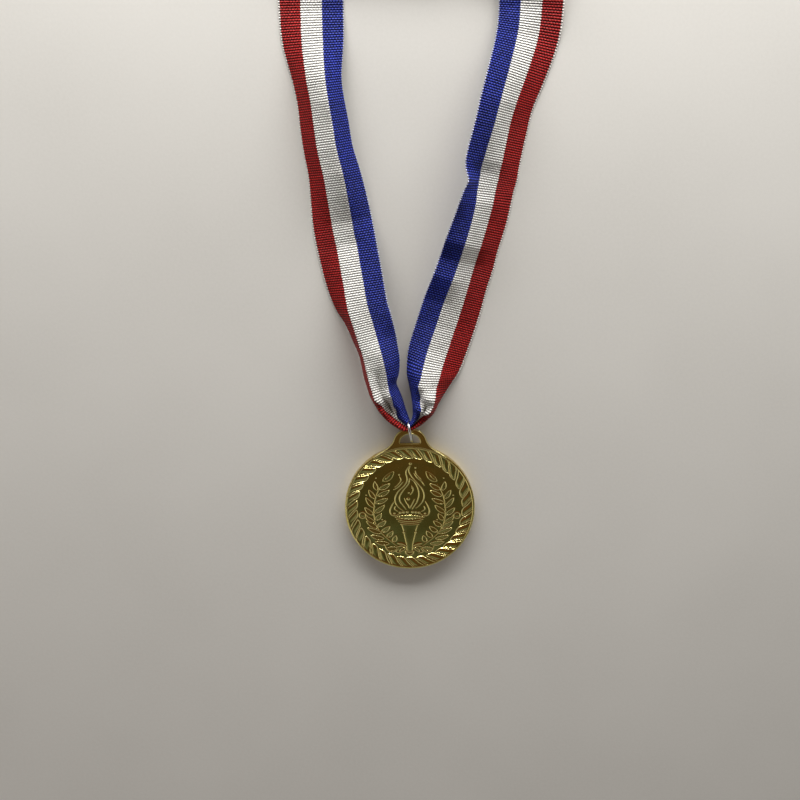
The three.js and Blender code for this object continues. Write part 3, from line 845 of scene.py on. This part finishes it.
def leans(strips):
    """The lean at every column, from one value for each of the equal strips."""
    edges = np.linspace(-RIBBON_W / 2, RIBBON_W / 2, len(strips) + 1)
    blend = 0.55 if len(strips) > 3 else 1.1
    out = np.full(COLUMNS, float(strips[0]))
    for edge, before, after in zip(edges[1:], strips, strips[1:]):
        out += (after - before) * smooth(edge - blend, edge + blend, across)
    return out


def leg_rows(side, stations, step):
    """Centre-surface points of one leg, from the middle of the gather out to the fold line."""
    edges = spline([s[:4] for s in stations], CURVE_SAMPLES)
    middle = (edges[:, :2] + edges[:, 2:]) / 2
    travelled = np.concatenate([[0], np.cumsum(np.hypot(*np.diff(middle, axis=0).T))])
    at = travelled[np.linspace(0, CURVE_SAMPLES - 1, len(stations)).round().astype(int)]
    length = travelled[-1]
    d = np.arange(0, length, step)
    edges = np.column_stack([np.interp(d, travelled, edges[:, k]) for k in range(4)])
    edges = edges + smooth(0, 6, d)[:, None] * (soften(edges, int(2.5 / step)) - edges)
    lift = soften(np.interp(d, at, [s[4] for s in stations]), int(1.5 / step))
    table = np.array([leans(s[5]) for s in stations])
    slopes = np.column_stack([np.interp(d, at, table[:, k]) for k in range(COLUMNS)])
    slopes = np.radians(soften(slopes, int(1.2 / step)))
    dq = across[1] - across[0]
    mid = (slopes[:, 1:] + slopes[:, :-1]) / 2
    start = np.zeros((len(d), 1))
    white = np.abs((across[1:] + across[:-1]) / 2) < STRIPE
    shown = np.where(white[None, :], TUCKED + (1 - TUCKED) * smooth(*TUCK, d)[:, None], 1)
    share = np.concatenate([start, np.cumsum(np.cos(mid) * dq * shown, axis=1)], axis=1)
    share /= share[:, -1:]
    z = np.concatenate([start, np.cumsum(np.sin(mid) * dq, axis=1)], axis=1)
    z += lift[:, None] - z.min(axis=1, keepdims=True)
    x = edges[:, :1] + (edges[:, 2:3] - edges[:, :1]) * share
    y = edges[:, 1:2] + (edges[:, 3:4] - edges[:, 1:2]) * share
    return list(np.stack([side * x, y, z], axis=2)), length


def bend_back(points, origin, normal, radius):
    """Folds the plan beyond a line up and back over itself, round a small radius."""
    beyond = (points[:, 0] - origin[0]) * normal[0] + (points[:, 1] - origin[1]) * normal[1]
    arc = np.clip(beyond, 0, math.pi * radius) / radius
    kept = np.minimum(beyond, 0) + radius * np.sin(arc) - np.maximum(beyond - math.pi * radius, 0)
    out = points.copy()
    out[:, 0] += normal[0] * (kept - beyond)
    out[:, 1] += normal[1] * (kept - beyond)
    out[:, 2] += radius * (1 - np.cos(arc))
    return out


def hank_rows(side, start, stop, step, right_fold):
    """Rows beyond a leg's fold line: a mitred corner, then runs laid to and fro."""
    rows = []
    end_x, z = (LEFT_END_X, RUN_BASE_Z) if side < 0 else (RIGHT_END_X, RIGHT_RUN_Z)
    for w in np.arange(start, stop, step):
        flat = [end_x - side * across, np.full(COLUMNS, FOLD_Y + w), np.full(COLUMNS, z)]
        p = np.column_stack(flat)
        corner = (end_x + side * RIBBON_W / 2, FOLD_Y)
        p = bend_back(p, corner, (side / math.sqrt(2), 1 / math.sqrt(2)), LAYER / 2)
        if side > 0:
            sink = smooth(RIGHT_END_X - RIBBON_W / 2 - 1, OVERLAP[1] - 6, p[:, 0])
            p[:, 2] -= LAYER * np.where(w > RIBBON_W / 2, sink, 0)
        else:
            run = right_fold - HANK_LEFT
            gone = w - RIBBON_W / 2 - (right_fold - LEFT_END_X)
            for k in range(4):
                if gone > k * run - 6:
                    line, facing = (HANK_LEFT, -1) if k % 2 else (right_fold, 1)
                    line = line - facing * FOLD_STAGGER * (k // 2)
                    p = bend_back(p, (line, 0), (facing, 0), LAYER / 2)
        rows.append(p)
    return rows


def build_ribbon():
    step = RIB / 4
    coarse = RIB / 2
    left, left_length = leg_rows(-1, LEFT_LEG, step)
    right, right_length = leg_rows(1, RIGHT_LEG, step)
    right_stop = RIBBON_W / 2 + RIGHT_END_X - OVERLAP[0]
    left_stop = RIBBON_L - left_length - right_length - right_stop
    right_fold = (left_stop - RIBBON_W / 2 + LEFT_END_X + 4 * HANK_LEFT - OVERLAP[1]) / 4
    left_hank = hank_rows(-1, len(left) * step - left_length, left_stop, coarse, right_fold)
    right_hank = hank_rows(1, len(right) * step - right_length, right_stop, coarse, right_fold)
    rows = np.array(right_hank[::-1] + right[:0:-1] + left + left_hank)
    along = np.concatenate(
        [
            -(len(right) - 1) * step - coarse * np.arange(len(right_hank), 0, -1),
            -step * np.arange(len(right) - 1, 0, -1),
            step * np.arange(len(left)),
            (len(left) - 1) * step + coarse * np.arange(1, len(left_hank) + 1),
        ]
    )
    # the two halves meet in the gather, so their shapes are eased into each other there
    near = np.exp(-((along / 1.6) ** 2))[:, None, None]
    rows = rows + near * (soften(rows, 6) - rows)
    dq = np.gradient(rows, axis=1)
    normal = unit(np.cross(dq, np.gradient(rows, axis=0)))
    outward = unit(dq * [1, 1, 0.05])
    wave = np.cos(math.tau * along / RIB)
    tight = 1 - 0.35 * (1 - smooth(2, 9, np.abs(along)))
    half = (tight * (RIBBON_T / 2 + 0.01 + RIB_HEIGHT * wave))[:, None, None]
    taper = np.ones(COLUMNS)
    taper[0] = taper[-1] = 0.8
    top = rows + normal * half * taper[None, :, None]
    bottom = rows - normal * half * taper[None, :, None]
    red_edge = rows[:, 0] - outward[:, 0] * (RED_LOOP[0] + RED_LOOP[1] * wave)[:, None]
    blue_edge = rows[:, -1] + outward[:, -1] * (BLUE_LOOP[0] + BLUE_LOOP[1] * wave)[:, None]
    around = np.concatenate([red_edge[:, None], top, blue_edge[:, None], bottom[:, ::-1]], axis=1)
    around[:, :, 2] = np.maximum(around[:, :, 2], 0.01)
    count, per = around.shape[:2]
    q = np.concatenate([[across[0] - 0.3], across, [across[-1] + 0.3], across[::-1]])
    attributes = {"across": np.tile(q, count), "along": np.repeat(along, per)}
    return make_mesh("neck_ribbon", around.reshape(-1, 3), swept_faces(count, per), attributes)


def ribbon_material():
    n = Nodes("ribbon_weave")
    q = n.attribute("across")
    turns = n.math("DIVIDE", n.attribute("along"), RIB)
    rib = n.math("COSINE", n.times(turns, math.tau))
    number = n.math("ROUND", turns)
    brick = n.times(n.math("PINGPONG", number, 1.0), math.pi)
    warp = n.math("COSINE", n.plus(n.times(q, math.tau / WARP), brick))
    thread_number = n.math("ROUND", n.math("DIVIDE", q, WARP / 2))
    cell = n.add("ShaderNodeCombineXYZ", {"X": thread_number, "Y": number})
    grain = n.add("ShaderNodeTexWhiteNoise", noise_dimensions="2D")
    n.put(cell.outputs[0], grain.inputs["Vector"])
    random = n.span(grain.outputs[0], 0, 1, 0, 1)
    streak = n.noise(1400, 3, 0.6)
    cloud = n.noise(60, 3, 0.5)

    jagged = n.plus(q, n.times(rib, 0.14))
    in_white = n.span(jagged, -STRIPE - 0.03, -STRIPE + 0.03, 0, 1)
    in_blue = n.span(jagged, STRIPE - 0.03, STRIPE + 0.03, 0, 1)
    red = n.mix(random, (0.28, 0.004, 0.004), (0.42, 0.010, 0.009))
    white = n.mix(random, (0.86, 0.84, 0.80), (0.97, 0.96, 0.93))
    blue = n.mix(random, (0.004, 0.008, 0.13), (0.014, 0.026, 0.34))
    tone = n.mix(in_blue, n.mix(in_white, red, white), blue)
    # painted highlight: the crests of the thread floats are lightened toward a lit copy of each
    # stripe's colour
    float_highlight_paint = n.mix(in_white, (0.54, 0.04, 0.035), (1.0, 1.0, 0.98))
    float_highlight_paint = n.mix(in_blue, float_highlight_paint, (0.12, 0.18, 0.72))
    float_height = n.plus(rib, n.times(warp, 0.55))
    tone = n.mix(n.span(float_height, 0.85, 1.45, 0, 0.75), tone, float_highlight_paint)
    stitch = n.span(n.math("ABSOLUTE", q), RIBBON_W / 2 - 0.26, RIBBON_W / 2 - 0.10, 0, 1)
    thread = n.mix(in_white, (0.90, 0.86, 0.82), (0.50, 0.52, 0.70))
    tone = n.mix(stitch, tone, thread)
    # painted shade: the valleys between the floats darken the colour, down to 0.07 of it in the red
    # and blue and 0.24 in the white
    darkest_valley_shade = n.plus(0.07, n.times(0.17, n.math("SUBTRACT", in_white, in_blue)))
    valley_shade = n.span(float_height, -0.95, 0.75, 0.0, 1.0)
    valley_shade = n.plus(darkest_valley_shade, n.times(valley_shade, n.math("SUBTRACT", 1.0, darkest_valley_shade)))
    tone = n.mix(1.0, tone, n.grey(valley_shade), "MULTIPLY")
    tone = n.mix(1.0, tone, n.grey(n.span(cloud, 0.3, 0.7, 0.88, 1.08)), "MULTIPLY")
    height = n.plus(float_height, n.times(streak, 0.5))
    n.set(
        Base_Color=tone,
        Roughness=n.span(warp, -1, 1, 0.62, 0.42),
        Specular_IOR_Level=0.14,
        Sheen_Weight=0.02,
        Sheen_Roughness=0.4,
        Normal=n.bump(height, 9e-5, 0.9),
    )
    return n.material


ribbon = build_ribbon()
RIBBON_NODES = ("ribbon_left_leg", "ribbon_right_leg", "ribbon_bight", "ribbon_hank")
place(ribbon, ribbon_material(), "ribbon", "ribbon", *RIBBON_NODES)

# ---- tie round the folded ribbon, and the seam ----


def build_tie():
    """A woven tape once round the hank, its end tucked over its start on top."""
    low_y, high_y = TIE_LOW[1] + 0.25, TIE_HIGH[1] - 0.25
    low_z, high_z = TIE_LOW[2] + 0.16, TIE_HIGH[2] - 0.45
    corner, corner_steps = 1.1, 8
    before, after = 3.0, 5.0  # lengths of the two lapped ends
    path = []
    corners = [(high_y, low_z, -90), (high_y, high_z, 0), (low_y, high_z, 90), (low_y, low_z, 180)]
    for y, z, start in corners:
        cy = y - corner if y == high_y else y + corner
        cz = z - corner if z == high_z else z + corner
        for k in range(corner_steps + 1):
            angle = math.radians(start + 90 * k / corner_steps)
            path.append((cy + corner * math.cos(angle), cz + corner * math.sin(angle)))
    path = np.roll(np.array(path), -14, axis=0)
    path = np.vstack([[path[0] + (before, 0.0)], path, [path[-1] + (-after, 0.0)]])
    lengths = np.concatenate([[0], np.cumsum(np.hypot(*np.diff(path, axis=0).T))])
    total, spacing = lengths[-1], 0.16
    d = np.arange(0, total, spacing)
    y = np.interp(d, lengths, path[:, 0])
    z = np.interp(d, lengths, path[:, 1])
    z += 0.34 * smooth(total - 9.5, total - 6.5, d)  # it climbs over its own start
    columns = np.linspace(-1, 1, 17)
    middle = (TIE_LOW[0] + TIE_HIGH[0]) / 2
    width = (TIE_HIGH[0] - TIE_LOW[0]) / 2 - 0.1
    wander = 0.15 * np.sin(d / 4) + 0.3 * smooth(total - 9.5, total, d)
    x = middle + wander[:, None] + (width - 0.3) * columns[None, :]
    centre = np.stack(np.broadcast_arrays(x, y[:, None], z[:, None]), axis=2)
    normal = unit(np.cross(np.gradient(centre, axis=1), np.gradient(centre, axis=0)))
    cords = 0.03 * np.cos(columns * math.pi * 8)
    thick = 0.13 * np.sqrt(np.clip(1.02 - columns**2, 0, 1)) ** 0.25 + cords
    top = centre + normal * thick[None, :, None]
    bottom = centre - normal * thick[None, :, None]
    around = np.concatenate([top, bottom[:, ::-1]], axis=1)
    count, per = around.shape[:2]
    attributes = {
        "across": np.tile(np.concatenate([columns, columns[::-1]]) * width, count),
        "along": np.repeat(d, per),
    }
    return make_mesh("hank_tape", around.reshape(-1, 3), swept_faces(count, per), attributes)


def tape_material():
    n = Nodes("tape_weave")
    q = n.times(n.attribute("across"), math.tau / 0.7)
    s = n.times(n.attribute("along"), math.tau / 0.8)
    weave = n.times(n.math("COSINE", q), n.math("COSINE", s))
    fuzz = n.noise(1800, 3, 0.6)
    # painted shade and highlight: the tape is darker where the weave dips and lighter on its crests
    tone = n.mix(n.span(weave, -1, 1, 0, 1), (0.50, 0.48, 0.43), (0.78, 0.76, 0.70))
    tone = n.mix(n.span(fuzz, 0.4, 0.7, 0, 0.3), tone, (0.85, 0.83, 0.78))
    height = n.plus(weave, n.times(fuzz, 0.7))
    n.set(Base_Color=tone, Roughness=0.8, Sheen_Weight=0.3, Normal=n.bump(height, 8e-5, 0.8))
    return n.material


def build_stitches():
    """Zigzag stitches through the two lapped ends, each a short arched thread."""
    low, high = SEAM_LOW + 0.16, SEAM_HIGH - 0.16
    corners, steps, sides = 14, 10, 12
    rise, ply = 0.20, 0.11
    sunk = low[2] - 0.12  # where the thread passes into the cloth
    ys = np.linspace(low[1], high[1], corners)
    xs = np.where(np.arange(corners) % 2 == 0, low[0], high[0])
    path = []
    for (x0, y0), (x1, y1) in zip(zip(xs, ys), zip(xs[1:], ys[1:])):
        for t in np.linspace(0, 1, steps, endpoint=False):
            z = sunk + rise * math.sin(math.pi * t) ** 0.6
            path.append((x0 + (x1 - x0) * t, y0 + (y1 - y0) * t, z))
    path.append((xs[-1], ys[-1], sunk))
    path = np.array(path)
    forward = unit(np.gradient(path, axis=0))
    side = unit(np.cross(forward, (0, 0, 1)))
    up = np.cross(side, forward)
    verts = []
    for i, p in enumerate(path):
        for k in range(sides):
            angle = math.tau * k / sides
            radius = ply + 0.018 * math.cos(2 * angle + i * 0.9)
            verts.append(p + radius * (side[i] * math.cos(angle) + up[i] * math.sin(angle)))
    return make_mesh("seam_stitches", verts, swept_faces(len(path), sides))


def thread_material():
    n = Nodes("sewing_thread")
    bands = {"Scale": 900, "Distortion": 1.5, "Vector": n.place()}
    wave = n.add("ShaderNodeTexWave", bands, wave_type="BANDS", bands_direction="DIAGONAL")
    twist = wave.outputs["Fac"]
    # painted shade and highlight: the thread is darker in the grooves of its twist and lighter on
    # the crests
    tone = n.mix(twist, (0.66, 0.65, 0.62), (0.86, 0.85, 0.82))
    n.set(Base_Color=tone, Roughness=0.5, Sheen_Weight=0.2, Normal=n.bump(twist, 4e-5, 0.7))
    return n.material


tape = build_tie()
place(tape, tape_material(), "ribbon", "tie", "hank_tie")
stitches = build_stitches()
place(stitches, thread_material(), "ribbon", "thread", "seam_thread")

# ---- floor and light ----

FLOOR_HALF = 8.0  # metres
FLOOR_Z = -3e-5  # metres, just clear of the pieces that rest on it
WORLD_STRENGTH = 0.30
OVERHEAD = Vector((0.05, 0.22, 0.97))
WORLD_TONES = [  # how nearly a direction points overhead, and its tone
    (0.35, (1.40, 1.35, 1.26)),
    (0.62, (0.60, 0.58, 0.55)),
    (0.795, (0.55, 0.60, 0.52)),
    (0.818, (0.20, 0.24, 0.15)),
    (0.836, (0.09, 0.10, 0.04)),
    (0.857, (0.22, 0.16, 0.07)),
    (0.885, (0.36, 0.17, 0.07)),
]


def build_floor():
    mesh = bpy.data.meshes.new("floor")
    corners = [(-1, -1), (1, -1), (1, 1), (-1, 1)]
    verts = [(x * FLOOR_HALF, y * FLOOR_HALF, FLOOR_Z) for x, y in corners]
    mesh.from_pydata(verts, [], [[0, 1, 2, 3]])
    floor = new_object("floor", mesh)
    n = Nodes("paper")
    fibre = n.noise(900, 5, 0.6)
    cloud = n.noise(14, 2, 0.5)
    cloudy = n.span(cloud, 0.3, 0.7, 0, 1)
    tone = n.mix(cloudy, (0.66, 0.645, 0.615), (0.70, 0.685, 0.655))
    tone = n.mix(n.span(fibre, 0.35, 0.7, 0, 0.25), tone, (0.76, 0.745, 0.715))
    relief = n.bump(fibre, 4e-5, 0.5)
    n.set(Base_Color=tone, Roughness=0.85, Specular_IOR_Level=0.25, Normal=relief)
    mesh.materials.append(n.material)


def area_light(name, location_mm, target_mm, size_mm, power, tint, spread):
    data = bpy.data.lights.new(name, "AREA")
    data.shape = "RECTANGLE"
    data.spread = math.radians(spread)
    data.size, data.size_y = size_mm[0] * MM, size_mm[1] * MM
    data.energy = power
    data.color = tint
    lamp = new_object(name, data)
    lamp.location = Vector(location_mm) * MM
    aim = (Vector(target_mm) - Vector(location_mm)).to_track_quat("-Z", "Y")
    lamp.rotation_euler = aim.to_euler()


def build_world():
    """Pale surroundings, dim and warm overhead, so that flat metal reflects a darker tone."""
    world = bpy.data.worlds.new("studio")
    world.use_nodes = True
    tree = world.node_tree
    where = tree.nodes.new("ShaderNodeTexCoord")
    facing = tree.nodes.new("ShaderNodeVectorMath")
    facing.operation = "DOT_PRODUCT"
    facing.inputs[1].default_value = OVERHEAD.normalized()
    ramp = tree.nodes.new("ShaderNodeValToRGB")
    ramp.color_ramp.interpolation = "B_SPLINE"
    stops = ramp.color_ramp.elements
    stops[0].position, stops[1].position = WORLD_TONES[0][0], WORLD_TONES[1][0]
    for position, _ in WORLD_TONES[2:]:
        stops.new(position)
    for stop, (_, tone) in zip(stops, WORLD_TONES):
        stop.color = (*tone, 1)
    tree.links.new(where.outputs["Generated"], facing.inputs[0])
    tree.links.new(facing.outputs["Value"], ramp.inputs[0])
    background = tree.nodes["Background"]
    tree.links.new(ramp.outputs[0], background.inputs[0])
    background.inputs[1].default_value = WORLD_STRENGTH
    bpy.context.scene.world = world


build_floor()
build_world()
MEDAL_TOP = (0, 20, 0)
area_light("window", (20, 545, 128), MEDAL_TOP, (900, 150), 3.95, (1.0, 0.99, 0.965), 120)
area_light("fill", (-420, -260, 520), MEDAL_TOP, (500, 500), 0.3, (1.0, 0.90, 0.86), 180)
